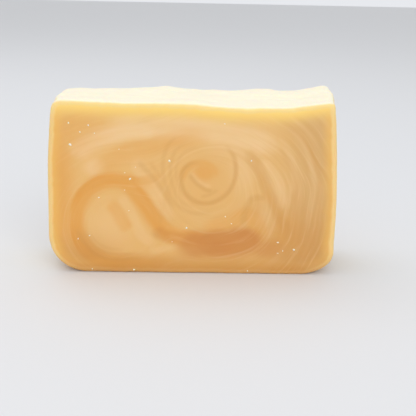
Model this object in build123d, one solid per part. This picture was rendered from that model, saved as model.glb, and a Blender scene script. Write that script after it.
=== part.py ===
"""A hand-made bar of soap: one slice cut across a loaf that was poured in a round-cornered mould.

Millimetres, +Z up. The bar stands on its mould base, with its two cut faces square to Y.
The origin is the middle of the bar's box, on the surface that it stands on.

The slice is one piece:
  - its section has a flat base between two rounded mould corners, the left one larger,
  - the mould walls bow out a little and lean in as they rise,
  - the top was left open to the air and is wavy,
  - the shoulders and the edges of both cuts are soft.
"""

from build123d import *
import os

# ---- The mould's section ----
BAR_WIDTH = 90.0  # over the walls at the foot, where the bar is widest
POUR_HEIGHT = 55.0  # nominal level of the open top over the base
LEFT_CORNER_ACROSS = 12.0  # rounded mould corner, measured along the base
LEFT_CORNER_UP = 12.0  # the same corner, measured up the wall
RIGHT_CORNER_ACROSS = 11.0
RIGHT_CORNER_UP = 7.0

# ---- How far each wall has leaned in at POUR_HEIGHT, at the front cut and at the back cut ----
LEFT_LEAN = (2.3, 1.3)
RIGHT_LEAN = (2.6, 0.9)
LEAN_AT_MID_WALL = 0.2  # share of the lean that is reached half way up the wall

# ---- The cut and the edges ----
SLICE_THICKNESS = 25.0  # between the two cut faces
SHOULDER_RADIUS = 2.4  # where the mould walls meet the open top
CUT_EDGE_RADIUS = 1.1  # round both cut faces, softened by drying and handling

# ---- The open top: height over POUR_HEIGHT at even stations from the left wall to the right ----
FRONT_CREST = (-0.3, -0.2, -0.4, -0.6, -0.5, -0.7, -1.5, -1.5, -1.2, 0.0, 1.0)
MIDDLE_CREST = (-0.3, -0.2, 0.1, 0.2, 0.0, -0.3, -0.6, -0.6, -0.2, 0.5, 1.4)
BACK_CREST = (-0.4, 0.2, 0.5, 0.7, 0.9, 0.4, 0.0, 0.3, 0.3, 1.0, 2.3)

# ---- Derived ----
HALF_WIDTH = BAR_WIDTH / 2
HALF_THICKNESS = SLICE_THICKNESS / 2
OVERLAP = 4.0  # how far cutting tools run past the stock


def wall_points(side, foot, lean):
    """One mould wall's foot, middle and upper end, which stands over the open top."""
    upper = POUR_HEIGHT + OVERLAP
    bow = (LEAN_AT_MID_WALL * lean, lean * (upper - foot) / (POUR_HEIGHT - foot))
    return [
        (side * HALF_WIDTH, foot),
        (side * (HALF_WIDTH - bow[0]), (POUR_HEIGHT + foot) / 2),
        (side * (HALF_WIDTH - bow[1]), upper),
    ]


def mould_section(y, left_lean, right_lean):
    """The loaf's section at one depth, with spare stock left standing over its top."""
    base_left = -HALF_WIDTH + LEFT_CORNER_ACROSS
    base_right = HALF_WIDTH - RIGHT_CORNER_ACROSS
    left = wall_points(-1, LEFT_CORNER_UP, left_lean)
    right = wall_points(1, RIGHT_CORNER_UP, right_lean)
    left_end = Vector(*left[2]) - Vector(*left[1])
    right_end = Vector(*right[2]) - Vector(*right[1])
    with BuildSketch(Plane.XZ.offset(-y)) as section:
        with BuildLine():
            Line((base_left, 0), (base_right, 0))
            EllipticalCenterArc(
                (base_right, RIGHT_CORNER_UP),
                RIGHT_CORNER_ACROSS,
                RIGHT_CORNER_UP,
                start_angle=270,
                arc_size=90,
            )
            Spline(*right, tangents=((0, 1), right_end.normalized()))
            Line(right[2], left[2])
            Spline(*reversed(left), tangents=(-left_end.normalized(), (0, -1)))
            EllipticalCenterArc(
                (base_left, LEFT_CORNER_UP),
                LEFT_CORNER_ACROSS,
                LEFT_CORNER_UP,
                start_angle=180,
                arc_size=90,
            )
        make_face()
    return section.sketch


def open_top():
    """The wavy top as one smooth surface through its three crests, run past the walls and the cuts."""
    reach = HALF_WIDTH + OVERLAP
    past = HALF_THICKNESS + OVERLAP
    depths = (-past, 0.0, past)
    rows = []
    for y, crest in zip(depths, (FRONT_CREST, MIDDLE_CREST, BACK_CREST)):
        step = BAR_WIDTH / (len(crest) - 1)
        row = [
            Vector(-HALF_WIDTH + i * step, y, POUR_HEIGHT + rise)
            for i, rise in enumerate(crest)
        ]
        first = Vector(-reach, y, row[0].Z)
        last = Vector(reach, y, row[-1].Z)
        rows.append([first, *row, last])
    return Face.make_surface_from_array_of_points(rows)


def cut_face_edges(body):
    """The edges round the two faces that the knife left."""
    cut_faces = body.faces().filter_by(Axis.Y)
    return [edge for face in cut_faces for edge in face.edges()]


def shoulder_edges(body):
    """The two long edges where the mould walls meet the open top."""
    across = [edge for edge in body.edges() if abs(edge.center().Y) < HALF_THICKNESS / 2]
    return sorted(across, key=lambda edge: edge.center().Z)[-2:]


def soap_bar():
    """The slice: the mould's section through its thickness, its top cut wavy and its edges softened."""
    stock = loft(
        [
            mould_section(-HALF_THICKNESS, LEFT_LEAN[0], RIGHT_LEAN[0]),
            mould_section(HALF_THICKNESS, LEFT_LEAN[1], RIGHT_LEAN[1]),
        ],
        ruled=True,
    )
    air = extrude(open_top(), amount=4 * OVERLAP, dir=(0, 0, 1))
    bar = stock - air
    bar = fillet(shoulder_edges(bar), SHOULDER_RADIUS)
    return fillet(cut_face_edges(bar), CUT_EDGE_RADIUS)


os.makedirs("parts", exist_ok=True)
export_step(soap_bar(), "parts/soap_bar.step")
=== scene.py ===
"""A hand-cut bar of loaf soap, standing on its mould edge.

The bar is one poured and sliced piece. A few white crumbs from the cut are still stuck to it.
Lengths are in millimetres until a mesh is made, which is in metres.
"""

import itertools

import bpy
import numpy as np
from mathutils import Matrix, Vector


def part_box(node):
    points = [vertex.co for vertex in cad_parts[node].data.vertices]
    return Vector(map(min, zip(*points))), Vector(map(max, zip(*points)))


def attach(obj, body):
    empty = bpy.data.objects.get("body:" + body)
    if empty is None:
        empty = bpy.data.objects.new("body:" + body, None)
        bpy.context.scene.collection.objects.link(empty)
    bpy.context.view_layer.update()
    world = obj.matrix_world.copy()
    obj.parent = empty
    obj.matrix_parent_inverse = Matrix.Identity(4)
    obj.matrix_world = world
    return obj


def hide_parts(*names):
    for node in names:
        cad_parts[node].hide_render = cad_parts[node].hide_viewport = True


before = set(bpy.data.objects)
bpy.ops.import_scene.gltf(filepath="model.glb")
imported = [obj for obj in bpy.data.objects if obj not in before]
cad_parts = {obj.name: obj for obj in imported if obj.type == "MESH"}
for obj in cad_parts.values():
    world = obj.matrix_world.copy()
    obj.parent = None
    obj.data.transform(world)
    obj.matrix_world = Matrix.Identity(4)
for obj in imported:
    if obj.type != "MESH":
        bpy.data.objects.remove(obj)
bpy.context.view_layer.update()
bpy.context.scene.view_settings.view_transform = "Standard"

# ---- The bar's shape ----
# Soap is poured into a round-cornered loaf mould, its top is left open to the air, and the loaf is sliced.
# So the bar has a flat base, two mould walls that lean in as they rise, and a wavy top with spoon marks.
# The two cut faces are flat, with edges that have dried soft and uneven.
MM = 0.001
far_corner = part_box("soap_bar")[1]
HALF_WIDTH = far_corner.x / MM
HALF_THICKNESS = far_corner.y / MM
POUR_HEIGHT = 55.0
LEFT_CORNER = (12.0, 12.0)  # rounded mould corner: along the base, and up the wall
RIGHT_CORNER = (11.0, 7.0)
LEFT_LEAN = (2.3, 1.3)  # how far the wall has leaned in at POUR_HEIGHT: at the front cut, and at the back
RIGHT_LEAN = (2.6, 0.9)
LEAN_POWER = 2.3  # the walls are nearly upright low down and lean in faster near the top
LEAN_SETTLED = 0.2  # share of the half thickness behind the middle where the back's lean is reached
SHOULDER = (3.0, 2.4)  # how far the left and right shoulders are rounded
SHOULDER_INSET = 2.0  # how far in from the bar's end the top's height is read for the shoulder
CUT_EDGE = 1.2  # average rounding of a cut face's edge
CRUMBLE = 0.3  # how much that rounding changes along the edge
CRUMBLE_ROUND = 7  # the change is noise, read round a circle of this radius

# The open top's height over POUR_HEIGHT, from the left wall to the right, at even steps.
FRONT_CREST = (
    -0.5, -0.3, -0.3, -0.4, -0.5, -0.6, -0.6, -0.6, -0.6, -0.7,
    -1.2, -1.6, -1.6, -1.5, -1.6, -1.2, -0.4, 0.3, 0.9,
)
BACK_CREST = (
    -1.0, -0.2, 0.0, 0.2, 0.5, 0.6, 0.8, 1.0, 0.6, 0.3,
    0.1, 0.0, 0.1, 0.4, 0.5, 0.4, 0.8, 1.7, 2.9,
)

ACROSS = 190  # mesh cells along the base and along the top
UP = 116  # mesh cells up each wall
ROUNDING = 6  # mesh cells round a cut edge
THROUGH = 48  # mesh cells between the two cut edges
BATCHES = 24  # distances are worked out in this many batches, which saves memory
CORNER_STEPS = 48  # steps that a mould corner is first drawn in
SHOULDER_STEPS = 23
WALL_POINTS = 80
TOP_POINTS = 240


def cloud(points, seed):
    """Smooth noise from -1 to 1: a fixed random value at each whole-number place, eased in between."""
    whole = np.floor(points)
    ease = points - whole
    ease = ease * ease * (3 - 2 * ease)
    total = np.zeros(len(points))
    for corner in itertools.product((0, 1), repeat=3):
        spin = np.sin((whole + corner) @ (12.9898, 78.233, 37.719) + seed) * 43758.5453
        share = np.prod(np.where(corner, ease, 1 - ease), axis=1)
        total += share * (2 * (spin - np.floor(spin)) - 1)
    return total


def flat_cloud(across, along, seed):
    """The same noise over two measures."""
    return cloud(np.stack([across, along, np.zeros(len(across))], axis=1), seed)


def rise(start, end, value):
    """0 up to start, 1 from end on, and an S-curve in between."""
    share = np.clip((value - start) / (end - start), 0, 1)
    return share * share * (3 - 2 * share)


def through(stations, place):
    """A Catmull-Rom curve: each station's value at its whole-number place, sloped by its neighbours."""
    stations = np.asarray(stations, float)
    ends = (2 * stations[:1] - stations[1:2], stations, 2 * stations[-1:] - stations[-2:-1])
    padded = np.concatenate(ends)
    first = np.clip(np.floor(place), 0, len(stations) - 2).astype(int)
    t = place - first
    if stations.ndim == 2:
        t = t[:, None]
    a, b, c, d = (padded[first + k] for k in range(4))
    bend = 2 * a - 5 * b + 4 * c - d + (3 * b - 3 * c + d - a) * t
    return b + 0.5 * t * (c - a + t * bend)


def open_top(x, y):
    """Height of the open top: the front crest, eased into the back one through the thickness."""
    place = (x / HALF_WIDTH + 1) / 2 * (len(FRONT_CREST) - 1)
    back = rise(-HALF_THICKNESS, HALF_THICKNESS, y)
    return POUR_HEIGHT + (1 - back) * through(FRONT_CREST, place) + back * through(BACK_CREST, place)


def wall(side, y, z):
    """x of a mould wall: straight at its foot, then leaning in as a power of its height."""
    lean, foot = (LEFT_LEAN, LEFT_CORNER[1]) if side < 0 else (RIGHT_LEAN, RIGHT_CORNER[1])
    depth = rise(-HALF_THICKNESS, LEAN_SETTLED * HALF_THICKNESS, y)
    share = np.clip((z - foot) / (POUR_HEIGHT - foot), 0, None) ** LEAN_POWER
    return side * (HALF_WIDTH - (lean[0] + (lean[1] - lean[0]) * depth) * share)


def shoulder(side, y):
    """Where a wall meets the top: a quadratic curve from wall to crest, with the corner as its handle."""
    size = SHOULDER[0] if side < 0 else SHOULDER[1]
    height = open_top(np.array([side * (HALF_WIDTH - SHOULDER_INSET)]), y)[0]
    on_wall = np.array([wall(side, y, height - size), height - size])
    corner = np.array([wall(side, y, height), height])
    x = corner[0] - side * size
    on_crest = np.array([x, open_top(np.array([x]), y)[0]])
    t = np.linspace(0, 1, SHOULDER_STEPS + 1)[:, None]
    return (1 - t) ** 2 * on_wall + 2 * t * (1 - t) * corner + t**2 * on_crest


def evenly(line, steps):
    """The same line with points at even distances along it, without its last point."""
    run = np.concatenate(([0], np.cumsum(np.linalg.norm(np.diff(line, axis=0), axis=1))))
    wanted = np.linspace(0, run[-1], steps + 1)[:-1]
    return np.stack([np.interp(wanted, run, line[:, k]) for k in (0, 1)], axis=1)


def outline(y):
    """The bar's section at depth y, as one closed line: base, right wall, top, left wall.

    Each of the four runs starts and ends in the middle of a rounded corner."""
    quarter = np.linspace(0, np.pi / 2, CORNER_STEPS + 1)
    sine, cosine = np.sin(quarter), np.cos(quarter)
    left_x, right_x = LEFT_CORNER[0] - HALF_WIDTH, HALF_WIDTH - RIGHT_CORNER[0]
    left = np.stack([left_x - LEFT_CORNER[0] * cosine, LEFT_CORNER[1] * (1 - sine)], axis=1)
    right = np.stack([right_x + RIGHT_CORNER[0] * sine, RIGHT_CORNER[1] * (1 - cosine)], axis=1)
    right_shoulder, left_shoulder = shoulder(1, y), shoulder(-1, y)
    top_x = np.linspace(right_shoulder[-1, 0], left_shoulder[-1, 0], TOP_POINTS)
    top = np.stack([top_x, open_top(top_x, y)], axis=1)
    right_z = np.linspace(right[-1, 1], right_shoulder[0, 1], WALL_POINTS)
    left_z = np.linspace(left_shoulder[0, 1], left[0, 1], WALL_POINTS)
    right_wall = np.stack([wall(1, y, right_z), right_z], axis=1)
    left_wall = np.stack([wall(-1, y, left_z), left_z], axis=1)
    turn = CORNER_STEPS // 2
    bend = SHOULDER_STEPS // 2
    base = evenly(np.concatenate([left[turn:], right[: turn + 1]]), ACROSS)
    rising = evenly(np.concatenate([right[turn:], right_wall, right_shoulder[: bend + 1]]), UP)
    crest = evenly(np.concatenate([right_shoulder[bend:], top, left_shoulder[: bend - 1 : -1]]), ACROSS)
    falling = evenly(np.concatenate([left_shoulder[bend::-1], left_wall, left[: turn + 1]]), UP)
    return np.concatenate([base, rising, crest, falling])


def inward(loop):
    """Unit vectors square to a closed line, pointing inside it."""
    along = np.roll(loop, -1, axis=0) - np.roll(loop, 1, axis=0)
    along /= np.linalg.norm(along, axis=1)[:, None]
    return np.stack([-along[:, 1], along[:, 0]], axis=1)


def skin():
    """Every point between the cut faces: the outline, carried through the thickness.

    It is drawn in at each cut edge by a quarter circle, whose radius changes a little on its way round."""
    count = 2 * (ACROSS + UP)
    turn = np.linspace(0, 2 * np.pi, count, endpoint=False)
    circle = CRUMBLE_ROUND * np.stack([np.cos(turn), np.sin(turn), np.zeros(count)], axis=1)
    edges = []
    for side in (-1, 1):
        radius = CUT_EDGE + CRUMBLE * (cloud(circle, side) + 0.6 * cloud(4 * circle, side + 9))
        for angle in np.linspace(0, np.pi / 2, ROUNDING + 1):
            sunk = radius * (1 - np.cos(angle))
            edges.append((side * (HALF_THICKNESS - sunk), radius * (1 - np.sin(angle))))
    front, back = edges[: ROUNDING + 1], edges[:ROUNDING:-1]
    shares = np.linspace(0, 1, THROUGH + 1)[1:-1]
    between = [(front[-1][0] * (1 - s) + back[0][0] * s, 0) for s in shares]
    rows = []
    for y, drawn_in in front + between + back:
        loop = outline(np.mean(y))
        loop = loop + inward(loop) * np.broadcast_to(drawn_in, count)[:, None]
        rows.append(np.stack([loop[:, 0], np.broadcast_to(y, count), loop[:, 1]], axis=1))
    return np.array(rows)


def cut_face(rim):
    """The inside of a cut face, as a Coons patch: each point blends the four runs of the rim round it."""
    u = np.linspace(0, 1, ACROSS + 1)[None, :, None]
    v = np.linspace(0, 1, UP + 1)[:, None, None]
    closed = np.concatenate([rim, rim[:1]])
    base = closed[: ACROSS + 1][None]
    right = closed[ACROSS : ACROSS + UP + 1][:, None]
    top = closed[ACROSS + UP : 2 * ACROSS + UP + 1][::-1][None]
    left = closed[2 * ACROSS + UP :][::-1][:, None]
    corners = (1 - v) * ((1 - u) * base[:, :1] + u * base[:, -1:])
    corners = corners + v * ((1 - u) * top[:, :1] + u * top[:, -1:])
    grid = (1 - v) * base + v * top + (1 - u) * left + u * right - corners
    return grid[1:-1, 1:-1].reshape(-1, 3)


def face_numbers(rim_first, inside_first):
    """Vertex numbers of a cut face's grid: the rim's own round its border, and the inside's in rows."""
    loop = rim_first + np.append(np.arange(2 * (ACROSS + UP)), 0)
    numbers = np.empty((UP + 1, ACROSS + 1), int)
    rows, columns = UP - 1, ACROSS - 1
    numbers[1:-1, 1:-1] = inside_first + np.arange(rows * columns).reshape(rows, columns)
    numbers[0] = loop[: ACROSS + 1]
    numbers[:, -1] = loop[ACROSS : ACROSS + UP + 1]
    numbers[-1] = loop[ACROSS + UP : 2 * ACROSS + UP + 1][::-1]
    numbers[:, 0] = loop[2 * ACROSS + UP :][::-1]
    return numbers


def cells(numbers):
    """The four corners of every cell in a grid of vertex numbers."""
    corners = (numbers[:-1, :-1], numbers[:-1, 1:], numbers[1:, 1:], numbers[1:, :-1])
    return np.stack(corners, axis=-1).reshape(-1, 4)


def closed_round(numbers):
    """A grid of vertex numbers with its first column again at the end, so that its cells close."""
    return np.concatenate([numbers, numbers[:, :1]], axis=1)


def mesh_object(name, points, faces):
    """A smooth-shaded object from points in millimetres and lists of each face's corners."""
    mesh = bpy.data.meshes.new(name)
    mesh.from_pydata(points * MM, [], faces)
    mesh.shade_smooth()
    made = bpy.data.objects.new(name, mesh)
    bpy.context.collection.objects.link(made)
    return made


def distance_inside(face, rim):
    """How far each point of a cut face lies from the nearest point of its rim, seen square to the face."""
    distances = []
    for part in np.array_split(face, BATCHES):
        away = part[:, None, ::2] - rim[None, :, ::2]
        distances.append(np.linalg.norm(away, axis=2).min(axis=1))
    return np.concatenate(distances)


band = skin()
front_face, back_face = cut_face(band[0]), cut_face(band[-1])
points = np.concatenate([band.reshape(-1, 3), front_face, back_face])
band_numbers = np.arange(band.shape[0] * band.shape[1]).reshape(band.shape[:2])
front_numbers = face_numbers(0, band_numbers.size)
back_numbers = face_numbers(band_numbers[-1, 0], band_numbers.size + len(front_face))
faces = np.concatenate([
    cells(closed_round(band_numbers))[:, ::-1],
    cells(front_numbers),
    cells(back_numbers)[:, ::-1],
])
soap = mesh_object("soap", points, faces.tolist())

inside = np.concatenate([
    np.zeros(band_numbers.size),
    distance_inside(front_face, band[0]),
    distance_inside(back_face, band[-1]),
])
normals = np.empty(points.shape)
soap.data.vertex_normals.foreach_get("vector", normals.ravel())
on_top = rise(0.4, 0.9, normals[:, 2])
on_cut = rise(0.6, 0.95, np.abs(normals[:, 1]))


def relief():
    """How far the skin stands out: lumps and low ridges along the top, and a faint swell elsewhere.

    All of it fades away at the base, which stays flat."""
    x, y, z = points.T
    slanted = y + 0.10 * x
    lumps = 0.30 * flat_cloud(0.13 * x, 0.20 * y, 3) + 0.12 * flat_cloud(0.33 * x, 0.5 * y, 4)
    ridges = 0.10 * flat_cloud(0.12 * x, 0.75 * slanted, 5) + 0.05 * flat_cloud(0.3 * x, 1.7 * slanted, 6)
    swell = 0.06 * cloud(points * 0.09, 7) + 0.02 * cloud(points * 0.4, 8)
    return (on_top * (lumps + ridges) + (1 - on_top) * swell) * rise(0.0, 2.0, z)


points = points + normals * relief()[:, None]
soap.data.vertices.foreach_set("co", (points * MM).ravel())
soap.data.update()

# ---- The bar's swirls ----
# Several shades of one soap are poured together and stirred: tan, cream, amber and a reddish brown.
# Each is a sheet that runs back through the loaf, so the two cuts show nearly the same swirls.
LINE_STEPS = 14  # steps that a ribbon's line is drawn in, for each of its points
END_SHARE = 0.16  # share of a ribbon's length over which each end fades
END_WIDTH = 0.3  # share of its width that is left at the very end
THREAD_PITCH = (0.9, 0.05)  # noise places per millimetre across a ribbon, and per step along it


def drifted(points):
    """x and z of a point's place in the pour: its own at the front cut, and further off towards the back.

    The drift is a sum of slow sine waves, of a few millimetres at the back cut."""
    x, y, z = points.T
    depth = (y + HALF_THICKNESS) / (2 * HALF_THICKNESS)
    over = x + depth * (2.5 * np.sin(z / 9.0 + 1.0) + 1.5 * np.sin(x / 13.0))
    up = z + depth * (2.0 * np.sin(x / 11.0 + 2.0) + 1.0)
    return np.stack([over, up], axis=1)


def ribbon(line, half, feather, lean=0.0, threads=0.0):
    """Share of pigment in one ribbon: 1 within half of a smooth line, and 0 past half + feather from it.

    It thins and fades towards its ends. Looking along it, a lean over 0 softens its right side, and one
    under 0 its left side.
    Threads is how much of its pigment is missing from the thin clear threads that run along it."""
    spine = through(line, np.linspace(0, len(line) - 1, LINE_STEPS * len(line)))
    ahead = np.gradient(spine, axis=0)
    share = np.empty(len(pour))
    for part in np.array_split(np.arange(len(pour)), BATCHES):
        away = pour[part][:, None] - spine[None]
        distance = np.linalg.norm(away, axis=2)
        near = distance.argmin(axis=1)
        row = np.arange(len(part))
        turned = ahead[near, 0] * away[row, near, 1] - ahead[near, 1] * away[row, near, 0]
        across = np.sign(turned) * distance[row, near]
        soft = feather * np.where(turned * lean < 0, 1 + abs(lean), 1)
        ends = rise(0.0, END_SHARE, np.minimum(near, len(spine) - 1 - near) / len(spine))
        width = half * (END_WIDTH + (1 - END_WIDTH) * ends)
        clear = 0.5 + 0.5 * flat_cloud(THREAD_PITCH[0] * across, THREAD_PITCH[1] * near, 31)
        band_share = 1 - rise(width, width + soft, np.abs(across))
        share[part] = band_share * np.sqrt(ends) * (1 - threads * clear)
    return share


def pool(x, z, across, up, feather):
    """Share of pigment in one oval patch with a soft edge, which is feather of its size to either side."""
    distance = np.hypot((pour[:, 0] - x) / across, (pour[:, 1] - z) / up)
    return 1 - rise(1 - feather, 1 + feather, distance)


wander = np.stack([cloud(points * 0.1, 21), cloud(points * 0.1, 22)], axis=1)
wander += 0.2 * np.stack([cloud(points * 0.35, 23), cloud(points * 0.35, 24)], axis=1)
pour = drifted(points) + 0.5 * wander

EYE = (3.2, 32.8)  # middle of the small swirl
LEFT_EYE = (-23.0, 15.5)  # middle of the large ring at the lower left
OUTER_MIDDLE = (9.5, 18.6)  # where the middles of ever larger streaks drift to
OUTER_LOOP = 25.0  # how large a streak is when its middle has drifted three quarters of the way
LOOPS_MEET = 5  # how softly the streaks round the two eyes run into each other

amber = np.maximum.reduce([
    # the large ring at the lower left, from its crown round to the foot, and its right limb
    1.0 * ribbon(
        [
            (-10, 31.5), (-16, 30.2), (-20, 30.6), (-25, 31.0), (-29.8, 29.5), (-33.8, 26),
            (-36.2, 21.5), (-36.9, 17), (-36.2, 12.3), (-34, 7.8), (-30, 4.6), (-24, 2.8),
            (-14, 2.6), (-4, 4.5),
        ],
        half=1.0, feather=1.8, lean=-1.2, threads=0.2,
    ),
    0.95 * ribbon(
        [
            (-27, 31.2), (-22.5, 31), (-18.6, 28.4), (-16.2, 25), (-13.2, 20), (-9.2, 15.2),
            (-4.5, 12.4), (2, 11.5), (8, 12),
        ],
        half=1.3, feather=2.0, lean=0.4, threads=0.3,
    ),
    # the band under the pale smear, the upper corner and the left edge
    0.38 * ribbon(
        [(-31, 32.5), (-27, 35.4), (-22.5, 38.4), (-17, 40.5), (-10.5, 42.4), (-3, 44.2), (6, 44)],
        half=0.8, feather=2.6, lean=0.8, threads=0.4,
    ),
    0.4 * pool(-41, 48, 12, 11, 0.7),
    0.75 * pool(-44, 24, 6.5, 30, 0.6),
    # the core of the ring at the lower left, and a fold over the right end of the red patch
    0.5 * ribbon(
        [(-26, 23.5), (-23.6, 20.5), (-21.8, 17), (-19.6, 14)],
        half=0.8, feather=2.2, threads=0.3,
    ),
    0.55 * ribbon(
        [(3, 14.5), (7.5, 16), (11.5, 17.4), (15.5, 19.2), (18.6, 18.6), (20.6, 14.5), (22, 10)],
        half=0.9, feather=2.8, lean=0.5, threads=0.3,
    ),
    # the eye of the small swirl, with the hook round it
    0.5 * ribbon(
        [(-3.4, 29.5), (-2.6, 33), (0.2, 35.6), (3.6, 35.8), (6.2, 34), (6.8, 31)],
        half=0.5, feather=1.5,
    ),
    0.6 * pool(EYE[0] + 0.4, EYE[1] + 0.4, 3.2, 2.6, 0.5),
    0.06 * pool(4, 30, 9, 8, 0.6),
    # a patch right of the red one
    0.3 * pool(29.5, 13.5, 4.5, 5.5, 0.7),
])
fine_amber = np.maximum.reduce([
    # the line that winds round the small eye, with its tail inside
    0.55 * ribbon(
        [
            (9.5, 42), (12, 39), (13, 35), (12.5, 30.6), (10.2, 26.4), (6, 23.5), (1.4, 23.6),
            (-2.2, 26.2), (-3.6, 30), (-3, 33.6), (-0.6, 35.8), (2.4, 36.4),
        ],
        half=0.2, feather=1.0,
    ),
    0.45 * ribbon(
        [(-1.2, 32.4), (0, 30.8), (1.8, 28.9), (4.4, 27.4), (6.5, 27.4)],
        half=0.2, feather=0.9,
    ),
    0.3 * ribbon([(2.5, 25.2), (5.2, 26), (7.8, 28)], half=0.1, feather=0.8),
    # a crease under it on the right
    0.42 * ribbon(
        [(23, 25), (20.8, 25.2), (18, 24.4), (16.5, 21.6), (15.8, 18), (16, 15)],
        half=0.4, feather=1.3,
    ),
    0.25 * pool(19.5, 21.5, 3, 2.6, 0.7),
    # the long crease that falls to the right of the small eye
    0.55 * ribbon(
        [
            (16.4, 41), (18.2, 37.8), (20.5, 34.3), (22.5, 30), (24.6, 25), (27, 20), (29.5, 16),
            (30.5, 11),
        ],
        half=0.7, feather=1.7, lean=0.5, threads=0.3,
    ),
    # threads that bend down past the left of the small eye
    0.35 * ribbon(
        [(-17, 36.5), (-15, 34.2), (-12, 30.5), (-8.6, 25.4), (-5.2, 20)],
        half=0.25, feather=1.0,
    ),
    0.22 * ribbon([(-13.6, 36.5), (-10.5, 31.5), (-7, 25.5)], half=0.15, feather=0.8),
    0.28 * ribbon(
        [(-5, 45), (-8.4, 41), (-9.6, 35), (-8.8, 29), (-5.8, 23.4), (0, 20), (7, 20)],
        half=0.2, feather=0.9,
    ),
    0.24 * ribbon(
        [(-1.5, 43), (-5.6, 40), (-7.2, 34.5), (-6.6, 29), (-3.8, 23.8), (1, 21.6)],
        half=0.2, feather=0.8,
    ),
    0.2 * ribbon([(2, 41.6), (-3, 39.2), (-5.2, 35), (-5, 30), (-2.8, 25)], half=0.15, feather=0.7),
    # threads inside the ring at the lower left
    0.45 * ribbon(
        [(-36, 15), (-34.4, 11.4), (-32, 8), (-28.4, 5.6), (-23, 4.6), (-15, 5.2)],
        half=0.25, feather=0.9,
    ),
    0.35 * ribbon(
        [(-34.2, 15), (-33, 12), (-30.8, 9), (-27, 6.9), (-22, 6.2), (-15, 6.6)],
        half=0.15, feather=0.8,
    ),
    0.22 * ribbon([(-32, 13), (-30, 10.4), (-26.4, 8.4), (-21, 7.6)], half=0.15, feather=0.7),
    # long arcs down the right side
    0.3 * ribbon(
        [(26, 41), (28.8, 36.4), (31, 32), (32.1, 25.6), (32.3, 19.4), (31, 12), (28, 7)],
        half=0.3, feather=1.0,
    ),
    0.3 * ribbon(
        [
            (24, 50.5), (29.4, 47.6), (34, 43.4), (36.6, 38.6), (38.3, 33), (39.2, 25), (39, 17),
            (37.6, 10), (34, 4),
        ],
        half=0.3, feather=1.1,
    ),
])
red = np.maximum.reduce([
    # the patch low in the middle, thinning to the right, and its tail to the left
    1.0 * pool(9.5, 9.9, 11, 4.6, 0.3),
    1.0 * pool(15, 11, 6.5, 4.4, 0.35),
    0.9 * pool(2, 9.8, 6.5, 4.2, 0.5),
    0.65 * pool(22, 9.0, 5.5, 2.8, 0.7),
    0.55 * ribbon([(-13, 14.5), (-8, 12.6), (-3.5, 11.8), (2, 12)], half=0.9, feather=2.0, threads=0.3),
])
red *= 0.88 + 0.12 * flat_cloud(0.12 * pour[:, 0], 0.5 * pour[:, 1], 33)
base_brown_and_painted_shade = np.maximum.reduce([
    # darker brown along the whole base, and up into both lower corners: partly the soap's own colour,
    # partly painted shade
    (1 - rise(1.0, 8.5, pour[:, 1])) * (1 - rise(34, 45, np.abs(pour[:, 0] + 1))),
    0.65 * pool(34, 8, 14, 13, 0.9),
    0.7 * pool(-35, 3, 10, 8, 0.9),
])
cream = np.maximum.reduce([
    # the smear under the top, from its curl at the left to the right side
    0.95 * ribbon(
        [(-37, 37), (-34, 40.4), (-29.5, 43.2), (-23.5, 45), (-17, 46.2), (-8, 47.2)],
        half=1.1, feather=3.2, lean=0.3, threads=0.35,
    ),
    0.75 * ribbon(
        [(-28, 46.8), (-18, 47.6), (-7, 47.6), (3, 46.6), (12, 44.8), (20, 43), (26, 39.6)],
        half=1.8, feather=4.0, threads=0.3,
    ),
    0.5 * pool(14, 43.5, 9, 5, 0.8),
    # a spot over the ring, and a band down between it and the small eye
    0.55 * pool(-30.5, 34.4, 3.0, 2.6, 0.7),
    0.4 * ribbon(
        [(-18.5, 36.5), (-16, 33.5), (-13, 28.5), (-9.6, 22.5), (-6, 17.5)],
        half=0.9, feather=2.2, threads=0.4,
    ),
    # both sides of the long crease
    0.4 * pool(15.5, 36, 4.5, 8, 0.8),
    0.6 * ribbon(
        [(20, 38), (23.5, 32.6), (26.4, 27), (28.6, 21)],
        half=0.7, feather=2.0, lean=-0.5, threads=0.3,
    ),
    0.35 * pool(22.5, 18.5, 3.2, 5, 0.8),
    # long arcs down the right side
    0.3 * ribbon(
        [(28, 48), (32.5, 43.6), (35.4, 38), (36.8, 31), (37, 23), (35.6, 13)],
        half=0.3, feather=1.2, threads=0.3,
    ),
    0.28 * ribbon(
        [(24.5, 45.5), (28.6, 40), (30.6, 33), (30.8, 26)],
        half=0.3, feather=1.4, threads=0.3,
    ),
    # inside the right limb of the ring, and its pale core
    0.38 * ribbon(
        [(-22.5, 26), (-20.6, 22), (-18.4, 17.6), (-15.6, 12.6), (-11, 9.4)],
        half=0.7, feather=2.0, threads=0.3,
    ),
    0.3 * pool(-26, 15, 6, 7, 0.8),
    # a thread in the small eye, and one at the foot
    0.32 * ribbon([(-0.2, 33), (0.9, 31), (3, 29.2), (6, 28.6)], half=0.2, feather=0.9),
    0.3 * ribbon([(-14, 7.6), (-8.5, 8.4), (-3.5, 9.2)], half=0.3, feather=1.5, threads=0.3),
])
grey = 0.8 * rise(22, 38, pour[:, 0]) + 0.2 * rise(-20, 25, pour[:, 0])

# Streaks follow the stirring. Round the small eye they are loops, whose middles drift down and right
# as they grow, so each point's loop is found in a few rounds. Round the left eye they are circles.
loop_size = np.hypot(*(pour - EYE).T)
for _ in range(6):
    drift = np.tanh(loop_size / OUTER_LOOP)[:, None]
    middle = (1 - drift) * np.array(EYE) + drift * np.array(OUTER_MIDDLE)
    loop_size = np.linalg.norm(pour - middle, axis=1)
from_left_eye = np.hypot(*(pour - LEFT_EYE).T)
nearer = np.exp(-loop_size / LOOPS_MEET) + 0.6 * np.exp(-from_left_eye / LOOPS_MEET)
streak = -LOOPS_MEET * np.log(nearer) + 0.5 * wander[:, 0]
stirred = np.minimum(rise(4, 9, loop_size), rise(6, 12, from_left_eye))
stirred *= 0.55 + 0.45 * rise(8, 24, pour[:, 0])

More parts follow.
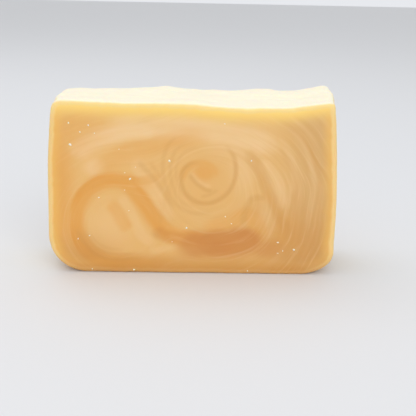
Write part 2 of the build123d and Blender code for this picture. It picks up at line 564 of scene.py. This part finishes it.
fields = {
    "amber": amber,
    "fine_amber": fine_amber,
    "red": red,
    "base_brown_and_painted_shade": base_brown_and_painted_shade,
    "cream": cream,
    "grey": grey,
    "streak": streak,
    "stirred": stirred,
    "inside": inside,
    "below_top": open_top(points[:, 0], points[:, 1]) - points[:, 2],
    "on_top": on_top,
    "on_cut": on_cut,
}
for name, values in fields.items():
    soap.data.attributes.new(name, "FLOAT", "POINT").data.foreach_set("value", values.astype(np.float32))

# ---- The bar's finish ----
# Cured soap is waxy and lets a little light in. Its skin has dried paler than its cut faces, and the upward
# faces of the top are paler still: partly dried skin, partly painted light from above.
# Just under the skin, most of all below the open top and along the cut faces' rims, a painted yellow glow
# stands for light coming through the thin, waxy edges.


def shade(red, green, blue):
    """A display colour, 0 to 255, as the linear colour that shaders use."""
    display = np.array([red, green, blue]) / 255
    linear = np.where(display > 0.04045, ((display + 0.055) / 1.055) ** 2.4, display / 12.92)
    return (*linear, 1.0)


class Wire:
    """One shader socket. An operator on it adds one Math node, so a formula reads as on paper."""

    def __init__(self, tree, socket=None):
        self.tree = tree
        self.socket = socket

    def node(self, kind, settings=None, sockets=None, output=0):
        """Adds a node, makes its settings, fills its sockets with values or wires, and gives one output."""
        made = self.tree.nodes.new(kind)
        for name, value in (settings or {}).items():
            setattr(made, name, value)
        for key, value in (sockets or {}).items():
            if isinstance(value, Wire):
                self.tree.links.new(value.socket, made.inputs[key])
            else:
                made.inputs[key].default_value = value
        return Wire(self.tree, made.outputs[output] if len(made.outputs) else None)

    def twin(self, output):
        """Another output of this wire's own node."""
        return Wire(self.tree, self.socket.node.outputs[output])

    def math(self, operation, *values):
        return self.node("ShaderNodeMath", {"operation": operation}, dict(enumerate(values)))

    def __add__(self, other):
        return self.math("ADD", self, other)

    def __sub__(self, other):
        return self.math("SUBTRACT", self, other)

    def __rsub__(self, other):
        return self.math("SUBTRACT", other, self)

    def __mul__(self, other):
        return self.math("MULTIPLY", self, other)

    def __truediv__(self, other):
        return self.math("DIVIDE", self, other)

    __radd__ = __add__
    __rmul__ = __mul__

    def or_more(self, other):
        """The larger of this wire and another."""
        return self.math("MAXIMUM", self, other)

    def step(self, start, end):
        """0 at start, 1 at end, and an S-curve in between."""
        sockets = {"Value": self, "From Min": start, "From Max": end}
        return self.node("ShaderNodeMapRange", {"interpolation_type": "SMOOTHSTEP"}, sockets)

    def over(self, under, colour):
        """The colour laid over another, with this wire as its share."""
        settings = {"data_type": "RGBA", "clamp_factor": True}
        return self.node("ShaderNodeMix", settings, {0: self, 6: under, 7: colour}, 2)

    def field(self, name):
        """The value painted on the mesh under that name."""
        return self.node("ShaderNodeAttribute", {"attribute_name": name}, output="Fac")

    def grain(self, place, scale, detail=2.0, roughness=0.5):
        """Fractal noise, about 0.5 on average."""
        sockets = {"Vector": place, "Scale": scale, "Detail": detail, "Roughness": roughness}
        return self.node("ShaderNodeTexNoise", {}, sockets, "Fac")


def new_material(name):
    """A material with an empty tree, and a wire to start from."""
    material = bpy.data.materials.new(name)
    material.use_nodes = True
    material.node_tree.nodes.clear()
    return material, Wire(material.node_tree)


TAN = shade(231, 184, 113)
GREY_TAN = shade(214, 169, 105)
CREAM = shade(240, 204, 151)
AMBER = shade(227, 162, 74)
BROWN = shade(212, 157, 84)
RED_BROWN = shade(208, 140, 69)
BASE_BROWN_AND_SHADE = shade(205, 143, 66)
PAINTED_GLOW_YELLOW = shade(255, 222, 126)
PAINTED_RIM_GLOW_YELLOW = shade(238, 188, 98)
WALL = shade(243, 215, 152)
TOP_SKIN_AND_PAINTED_LIGHT = shade(251, 242, 217)
PALE_LINES, DARK_LINES, PALE_STREAKS = 0.34, 0.30, 0.3  # how strongly the stirring shows
STREAK_REACH = 40  # noise places per metre along a streak, against one per millimetre across it
TOP_GLOW_DEPTH, SIDE_GLOW_DEPTH = 8.0, 4.0  # how far the painted yellow glow reaches: down from the open top, and in from a cut face's rim
DRY_RIM = 0.9  # width of the pale rim on a cut face

soap_material, start = new_material("soap")
place = start.node("ShaderNodeTexCoord", output="Object")
place_x = start.node("ShaderNodeSeparateXYZ", sockets={0: place})
place_z = place_x.twin("Z")

streak_sockets = {0: place_x * STREAK_REACH, 1: place_z * STREAK_REACH, 2: start.field("streak")}
streak_place = start.node("ShaderNodeCombineXYZ", sockets=streak_sockets)
fine_streak = start.grain(streak_place, 1.1, 5.0, 0.62)
broad_streak = start.grain(streak_place, 0.35, 2.0, 0.5)
stir = start.field("stirred")
colour = start.field("grey").over(TAN, GREY_TAN)
colour = (broad_streak.step(0.45, 0.8) * stir * PALE_STREAKS).over(colour, CREAM)
colour = start.field("cream").over(colour, CREAM)
colour = start.field("amber").over(colour, AMBER)
colour = start.field("fine_amber").over(colour, BROWN)
# darker brown at the foot: partly the soap's own colour, partly painted shade
colour = (start.field("base_brown_and_painted_shade") * 0.85).over(colour, BASE_BROWN_AND_SHADE)
colour = start.field("red").over(colour, RED_BROWN)
colour = (fine_streak.step(0.5, 0.75) * stir * PALE_LINES).over(colour, CREAM)
colour = ((1 - fine_streak).step(0.5, 0.75) * stir * DARK_LINES).over(colour, BROWN)

above_foot = (place_z / MM).step(0.5, 9.0)
to_rim = start.field("inside")
# painted glow: yellow light through the thin edges, painted into the colour near the rim and under the top
painted_rim_glow = 1 - to_rim.step(0.0, SIDE_GLOW_DEPTH)
painted_top_glow = 1 - start.field("below_top").step(0.0, TOP_GLOW_DEPTH)
off_cut = 1 - start.field("on_cut")
dry_rim = (1 - to_rim.step(0.0, DRY_RIM)) * 0.6
dry_skin = (off_cut * 0.85).or_more(dry_rim)
# lay on the painted glow of light through the edges, fading out at the foot
colour = (painted_rim_glow * above_foot * 0.8).over(colour, PAINTED_RIM_GLOW_YELLOW)
colour = (painted_top_glow * (0.25 + painted_top_glow * 0.75)).over(colour, PAINTED_GLOW_YELLOW)
colour = (dry_skin * (0.2 + above_foot * 0.8)).over(colour, WALL)
# upward faces painted pale: partly dried skin, partly painted light from the lamp above
colour = start.field("on_top").over(colour, TOP_SKIN_AND_PAINTED_LIGHT)

pit_sockets = {"Vector": place, "Scale": 420.0}
to_pit = start.node("ShaderNodeTexVoronoi", {"feature": "F1"}, pit_sockets, "Distance")
pits = (1 - to_pit.step(0.0, 0.22)) * start.grain(place, 160.0).step(0.56, 0.66)
height = start.grain(place, 900.0, 3.0) * 0.25 + start.grain(place, 240.0, 3.0) * 0.6 - pits * 0.8
bump = start.node("ShaderNodeBump", {}, {"Strength": 0.35, "Distance": 0.00012, "Height": height})
surface = start.node(
    "ShaderNodeBsdfPrincipled",
    {},
    {
        "Base Color": colour,
        "Roughness": 0.40 + start.grain(place, 300.0, 3.0) * 0.12 + start.field("on_top") * 0.14,
        "Normal": bump,
        "IOR": 1.46,
        "Subsurface Weight": 0.3,
        "Subsurface Radius": (1.0, 0.55, 0.25),
        "Subsurface Scale": 0.002,
    },
)
start.node("ShaderNodeOutputMaterial", {}, {"Surface": surface})
soap.data.materials.append(soap_material)

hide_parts("soap_bar")
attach(soap, "root")

# ---- The crumbs ----
# The wire leaves white crumbs of dry soap stuck to the cut faces.
# Each is a lump of half a millimetre or so, half sunk in the face.
FRONT_CRUMBS = (
    (-37.7, 47.8, 0.45), (-31.8, 47.2, 0.35), (-34.4, 45.1, 0.30), (-30.0, 44.8, 0.30), (-37.4, 41.2, 0.55),
    (-22.7, 40.0, 0.25), (-21.0, 32.7, 0.35), (-19.4, 30.8, 0.50), (-17.7, 34.5, 0.25), (-7.4, 36.6, 0.45),
    (9.2, 48.3, 0.30), (17.6, 37.0, 0.38), (-29.1, 24.7, 0.42), (-21.1, 27.2, 0.28), (-19.9, 20.6, 0.25),
    (-32.2, 12.3, 0.35), (-35.8, 11.2, 0.28), (-1.9, 15.2, 0.42), (-6.4, 10.6, 0.25), (10.1, 19.1, 0.38),
    (12.1, 16.8, 0.28), (26.9, 10.8, 0.42), (27.0, 7.2, 0.38), (28.6, 8.0, 0.30), (32.1, 8.4, 0.62),
    (-31.6, 1.2, 0.35), (-18.4, 1.1, 0.42), (17.7, 1.1, 0.32),
)  # x, z and size
BACK_CRUMB_COUNT = 24
SIDES, RINGS = 9, 6  # corners round a crumb, and rings of them from pole to pole

chance = np.random.default_rng(12)
back_crumbs = np.stack(
    [
        chance.uniform(-38, 38, BACK_CRUMB_COUNT),
        chance.uniform(4, 50, BACK_CRUMB_COUNT),
        chance.uniform(0.22, 0.5, BACK_CRUMB_COUNT),
    ],
    axis=1,
)


def crumb(x, z, size, side):
    """One crumb: a sphere whose radius swells and dips with direction, stretched, turned and half sunk.

    Its rings of points come first, and its two poles last."""
    around = np.linspace(0, 2 * np.pi, SIDES, endpoint=False)
    turn, tip = np.meshgrid(around, np.linspace(0, np.pi, RINGS + 2)[1:-1])
    phase = chance.uniform(0, 6.28, 4)
    swell = 0.25 * np.sin(2 * turn + phase[0]) + 0.2 * np.sin(3 * tip + phase[1] + turn)
    ball = np.stack([np.cos(turn) * np.sin(tip), np.sin(turn) * np.sin(tip), np.cos(tip)], axis=-1)
    ball = (ball * (1 + swell * np.sin(tip))[..., None]).reshape(-1, 3)
    ball = np.concatenate([ball, [(0, 0, 1), (0, 0, -1)]])
    ball = ball * (1.0, 0.55, chance.uniform(0.5, 0.9)) * size * 0.75
    turned = ball @ np.array(Matrix.Rotation(phase[2], 3, "Y")).T
    return turned + (x, side * HALF_THICKNESS, z)


def crumb_faces(first):
    """The faces of the crumb whose points start at first: cells between rings, and a fan at each pole."""
    rings = closed_round(first + np.arange(SIDES * RINGS).reshape(RINGS, SIDES))
    upper, lower = first + SIDES * RINGS, first + SIDES * RINGS + 1
    upper_fan = [(upper, a, b) for a, b in zip(rings[0, :-1], rings[0, 1:])]
    lower_fan = [(lower, b, a) for a, b in zip(rings[-1, :-1], rings[-1, 1:])]
    return cells(rings)[:, ::-1].tolist() + upper_fan + lower_fan


spots = [(x, z, size, -1) for x, z, size in FRONT_CRUMBS] + [(x, z, size, 1) for x, z, size in back_crumbs]
crumb_points = np.concatenate([crumb(*spot) for spot in spots])
all_crumb_faces = []
for first in range(0, len(crumb_points), SIDES * RINGS + 2):
    all_crumb_faces += crumb_faces(first)
crumbs = mesh_object("crumbs", crumb_points, all_crumb_faces)

crumb_material, start = new_material("dry_soap_crumb")
place = start.node("ShaderNodeTexCoord", output="Object")
speckle = start.grain(place, 2500.0, 2.0)
surface = start.node(
    "ShaderNodeBsdfPrincipled",
    {},
    {
        "Base Color": speckle.step(0.3, 0.7).over(shade(247, 232, 198), shade(255, 250, 236)),
        "Roughness": 0.55,
        "Subsurface Weight": 0.2,
        "Subsurface Scale": 0.0005,
    },
)
start.node("ShaderNodeOutputMaterial", {}, {"Surface": surface})
crumbs.data.materials.append(crumb_material)

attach(crumbs, "root")

# ---- The stage ----
# A plain pale floor under an even sky, with a broad soft lamp above and a second one in front.
# Lengths here are in metres.
FLOOR_HALF = 3.0
LAMP_AIM = Vector((0, 0, 0.03))
LIGHT_SKY = (0.74, 0.74, 0.74, 1)

floor_points = [(x * FLOOR_HALF, y * FLOOR_HALF, 0) for x, y in ((-1, -1), (1, -1), (1, 1), (-1, 1))]
floor_mesh = bpy.data.meshes.new("floor")
floor_mesh.from_pydata(floor_points, [], [(0, 1, 2, 3)])
floor = bpy.data.objects.new("floor", floor_mesh)
bpy.context.collection.objects.link(floor)
floor_material, start = new_material("floor")
floor_sockets = {"Base Color": shade(226, 228, 232), "Roughness": 0.8}
surface = start.node("ShaderNodeBsdfPrincipled", {}, floor_sockets)
start.node("ShaderNodeOutputMaterial", {}, {"Surface": surface})
floor.data.materials.append(floor_material)

world = bpy.data.worlds.new("studio")
bpy.context.scene.world = world
world.use_nodes = True
world.node_tree.nodes.clear()
start = Wire(world.node_tree)
seen = start.node("ShaderNodeLightPath", output="Is Camera Ray")
sky_colour = seen.over(LIGHT_SKY, shade(232, 234, 238))
sky = start.node("ShaderNodeBackground", {}, {"Color": sky_colour, "Strength": 1.0})
start.node("ShaderNodeOutputWorld", {}, {"Surface": sky})


def lamp(name, place, size, power):
    """A square area lamp at that place, facing the bar."""
    data = bpy.data.lights.new(name, "AREA")
    data.size = size
    data.energy = power
    made = bpy.data.objects.new(name, data)
    made.location = place
    made.rotation_euler = (made.location - LAMP_AIM).to_track_quat("Z", "Y").to_euler()
    bpy.context.collection.objects.link(made)


lamp("above", (-0.25, 0.15, 0.75), 0.7, 1.5)
lamp("front", (0.25, -1.0, 0.6), 0.8, 4.2)

# ---- The camera ----
# It stands close in front, a little over the bar, and looks slightly down.
CAMERA_PLACE = (-0.0013, -0.2420, 0.0896)
YAW, DOWN, ROLL = np.radians((-1.49, 16.45, 1.22))
camera_data = bpy.data.cameras.new("camera")
camera_data.sensor_width = 36.0
camera_data.lens = 66.7
camera = bpy.data.objects.new("camera", camera_data)
facing = Matrix.Rotation(YAW, 4, "Z") @ Matrix.Rotation(np.pi / 2 - DOWN, 4, "X")
camera.matrix_world = Matrix.Translation(CAMERA_PLACE) @ facing @ Matrix.Rotation(ROLL, 4, "Z")
bpy.context.collection.objects.link(camera)
bpy.context.scene.camera = camera
